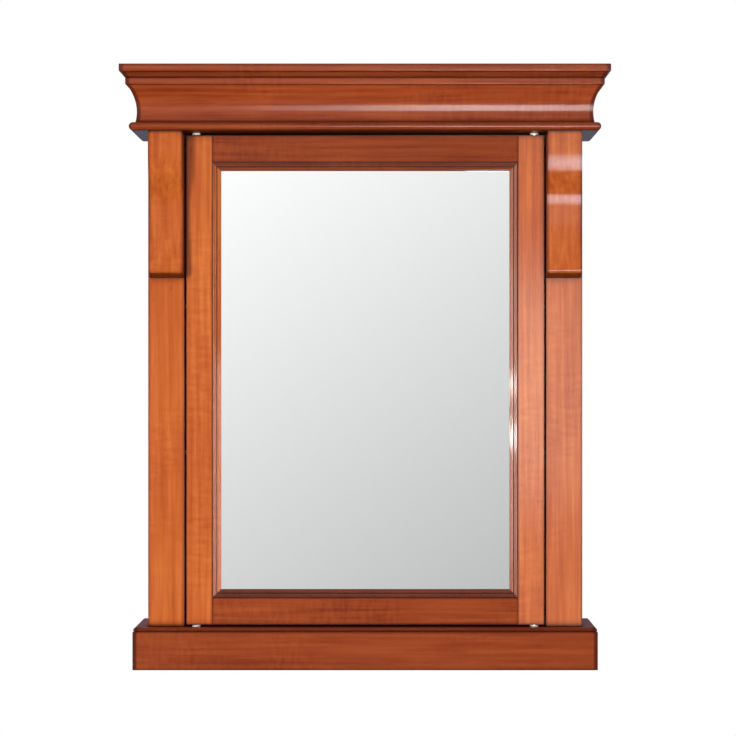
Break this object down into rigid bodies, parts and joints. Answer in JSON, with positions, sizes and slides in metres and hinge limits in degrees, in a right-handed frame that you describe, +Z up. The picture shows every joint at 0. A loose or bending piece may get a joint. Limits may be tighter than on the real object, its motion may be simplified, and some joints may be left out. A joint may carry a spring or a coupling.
{
  "type": "medicine cabinet",
  "caption": "Wall-hung wooden medicine cabinet: cove cornice, two corbels, moulded base, pivot-hung mirrored door, glass shelves inside.",
  "frame": {"origin": "on the wall plane, at the centre of the four wall-screw holes in the two hanging rails", "axes": "+Z up, +Y into the wall, -Y towards the room through the door, +X to the right as seen from the room"},
  "size_m": [0.635, 0.2032, 0.786],
  "materials": {
    "upright_wood": "satin lacquer over cherry stain, grain up",
    "level_wood": "satin lacquer over cherry stain, grain across",
    "case_wood": "satin lacquer over cherry stain",
    "raw_wood": "sawn, unfinished",
    "back_board": "thin veneered board, satin",
    "mirror": "silvered float glass",
    "backing_board": "hardboard, matt",
    "clip_steel": "zinc plated",
    "screw_steel": "zinc plated",
    "nylon": "moulded, satin",
    "pivot_metal": "nickel plated",
    "spring_steel": "drawn wire",
    "catch_plastic": "moulded, satin",
    "magnet": "ferrite, matt",
    "pole_steel": "zinc plated",
    "rubber": "moulded, matt",
    "shelf_glass": "clear, ground edges",
    "pin_steel": "nickel plated"
  },
  "bodies": {
    "cabinet": {"cornice_front": "level_wood", "cornice_left": "level_wood", "cornice_right": "level_wood", "cornice_back_rail": "raw_wood", "cornice_blocks": "raw_wood", "top_board": "back_board", "soffit_board": "level_wood", "left_side_panel": "case_wood", "right_side_panel": "case_wood", "top_panel": "case_wood", "bottom_panel": "case_wood", "back_panel": "back_board", "upper_hanging_rail": "raw_wood", "lower_hanging_rail": "raw_wood", "panel_dowels": "raw_wood", "left_post": "upright_wood", "right_post": "upright_wood", "left_corbel": "upright_wood", "right_corbel": "upright_wood", "base_ledger": "level_wood", "base_front": "level_wood", "base_left": "level_wood", "base_right": "level_wood", "base_back_rail": "raw_wood", "base_blocks": "raw_wood", "upper_right_bushing": "nylon", "lower_right_bushing": "nylon", "upper_left_bushing": "nylon", "lower_left_bushing": "nylon", "catch_body": "catch_plastic", "catch_magnet": "magnet", "catch_poles": "pole_steel", "catch_screws": "screw_steel", "door_bumpers": "rubber", "upper_shelf_pins": "pin_steel", "lower_shelf_pins": "pin_steel"},
    "door": {"hinge_stile": "upright_wood", "catch_stile": "upright_wood", "door_top_rail": "level_wood", "door_bottom_rail": "level_wood", "door_bead_left": "upright_wood", "door_bead_right": "upright_wood", "door_bead_top": "level_wood", "door_bead_bottom": "level_wood", "mirror_glass": "mirror", "mirror_backing": "backing_board", "mirror_clips": "clip_steel", "mirror_clip_screws": "screw_steel", "upper_pivot_barrel": "pivot_metal", "upper_pivot_spring": "spring_steel", "lower_pivot_pin": "pivot_metal", "strike_plate": "pole_steel", "strike_screws": "screw_steel"},
    "pivot_pin": {"upper_pivot_pin": "pivot_metal"},
    "upper_shelf": {"upper_shelf": "shelf_glass"},
    "lower_shelf": {"lower_shelf": "shelf_glass"}
  },
  "joints": [
    {"name": "door_hinge", "type": "hinge", "parent": "cabinet", "child": "door", "pos_m": [0.2212, -0.1362, 0], "axis": [0, 0, 1], "range_deg": [0, 95]},
    {"name": "pivot_pin_slide", "type": "slide", "parent": "door", "child": "pivot_pin", "axis": [0, 0, -1], "range_m": [0, 0.009], "stiffness_N_per_m": 400, "springref_m": -0.006, "deforming": ["upper_pivot_spring"]},
    {"name": "upper_shelf_lift", "type": "slide", "parent": "cabinet", "child": "upper_shelf", "axis": [0, 0, 1], "range_m": [0, 0.02]},
    {"name": "lower_shelf_lift", "type": "slide", "parent": "cabinet", "child": "lower_shelf", "axis": [0, 0, 1], "range_m": [0, 0.02]}
  ]
}
